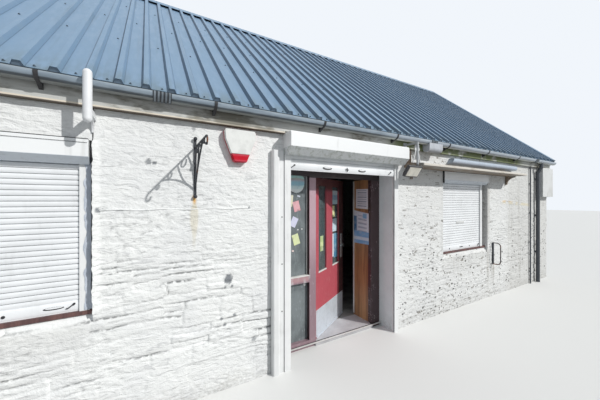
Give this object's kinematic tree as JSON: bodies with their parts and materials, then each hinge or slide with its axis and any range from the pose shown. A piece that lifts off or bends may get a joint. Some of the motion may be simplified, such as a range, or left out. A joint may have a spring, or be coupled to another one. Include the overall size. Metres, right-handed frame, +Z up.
{
  "type": "corner shop building",
  "caption": "Small single-storey shop with thick rubble walls, a ribbed metal gable roof, shuttered windows and a recessed glazed door that swings inward.",
  "frame": {"origin": "on the ground under the middle of the building's plan, on the underside of the floor slab", "axes": "+X along the shop front to the right as seen from the street, +Y from the street into the building, +Z up"},
  "size_m": [12.03, 6.376, 5.2307],
  "materials": {
    "stone_wall": "whitewashed rubble, dirty near the ground",
    "concrete": "worn concrete",
    "timber": "varnished softwood",
    "roof_sheet": "plastic-coated steel, satin",
    "white_board": "weathered white paint",
    "gutter_plastic": "dark grey, dusty",
    "frame_paint": "dark mauve-brown paint",
    "glass": "clear",
    "door_paint": "red gloss paint",
    "bright_metal": "brushed, scuffed",
    "hinge_steel": "dull",
    "shutter_paint": "white powder coat, dusty",
    "alarm_white": "moulded",
    "alarm_red": "translucent red moulding",
    "rusty_iron": "rusty black paint",
    "post_paint": "white paint",
    "lamp_body": "powder coat"
  },
  "bodies": {
    "shop": {"front_wall_left": "stone_wall", "front_wall_right": "stone_wall", "door_lintel": "stone_wall", "back_wall": "stone_wall", "left_gable_wall": "stone_wall", "right_gable_wall": "stone_wall", "floor_slab": "concrete", "door_step": "concrete", "rafters": "timber", "ridge_board": "timber", "purlins": "timber", "roof_sheets_front": "roof_sheet", "roof_sheets_back": "roof_sheet", "ridge_cap": "roof_sheet", "verge_flashings": "roof_sheet", "eaves_boards": "white_board", "eaves_ledge": "white_board", "eaves_casing": "white_board", "gutters": "gutter_plastic", "gutter_brackets": "gutter_plastic", "gutter_unions": "gutter_plastic", "gutter_outlet": "gutter_plastic", "downpipes": "gutter_plastic", "conduit": "gutter_plastic", "door_frame": "frame_paint", "sidelight_glass": "glass", "door_hinges": "hinge_steel", "ingo_lining": "timber", "door_shutter_box": "shutter_paint", "door_shutter_rails": "shutter_paint", "door_shutter_curtain": "shutter_paint", "window_shutter_boxes": "shutter_paint", "window_shutter_rails": "shutter_paint", "window_shutter_curtains": "shutter_paint", "window_frames": "timber", "window_glass": "glass", "side_casing": "white_board", "alarm_base": "alarm_red", "alarm_cover": "alarm_white", "sign_bracket": "rusty_iron", "stub_post": "post_paint", "floodlight": "lamp_body", "floodlight_glass": "glass", "wall_hoop": "rusty_iron", "corner_box": "white_board"},
    "door": {"door_leaf": "door_paint", "door_glass": "glass", "kick_plate": "bright_metal", "door_handle": "bright_metal", "hinge_leaves": "hinge_steel"}
  },
  "joints": [
    {"name": "door_hinge", "type": "hinge", "parent": "shop", "child": "door", "pos_m": [-0.1965, -2.523, 1], "axis": [0, 0, 1], "range_deg": [-30, 60]}
  ]
}
